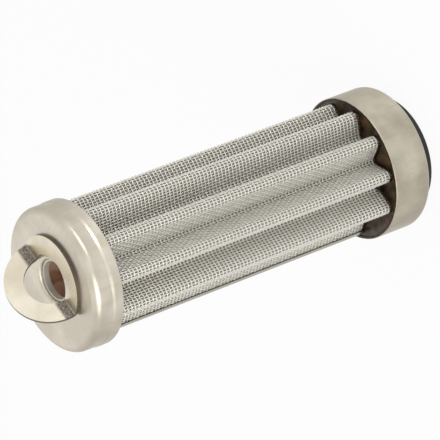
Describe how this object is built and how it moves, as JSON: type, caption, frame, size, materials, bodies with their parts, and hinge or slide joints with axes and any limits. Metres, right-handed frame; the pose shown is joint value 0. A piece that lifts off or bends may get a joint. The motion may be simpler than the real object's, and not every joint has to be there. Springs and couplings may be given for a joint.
{
  "type": "hydraulic filter",
  "caption": "Pleated wire cloth hydraulic filter element with a steel cap at each end, an outlet bore under a face seal and a folded pull ring on top.",
  "frame": {"origin": "centre of the face seal's underside, at the open end that the filter stands on", "axes": "+Z along the filter's axis from the open end to the handle end, +Y towards the side that the raised half of the pull ring leans to"},
  "size_m": [0.065, 0.065, 0.2058],
  "materials": {
    "cap_steel": "satin stainless sheet",
    "handle_steel": "satin stainless sheet",
    "ferrule_steel": "turned stainless",
    "mesh_steel": "woven stainless wire",
    "cloth_steel": "fine woven wire cloth",
    "clip_steel": "satin strip",
    "core_steel": "perforated sheet",
    "resin": "brown potting resin",
    "seal_rubber": "black nitrile rubber"
  },
  "bodies": {
    "root": {"open_end_cap": "cap_steel", "face_seal": "seal_rubber", "open_end_resin": "resin", "core_tube": "core_steel", "inner_support_mesh": "mesh_steel", "filter_cloth": "cloth_steel", "outer_support_mesh": "mesh_steel", "seam_clip": "clip_steel", "handle_end_resin": "resin", "hole_ferrule": "ferrule_steel", "handle_end_cap": "cap_steel", "pull_handle": "handle_steel"}
  },
  "joints": []
}
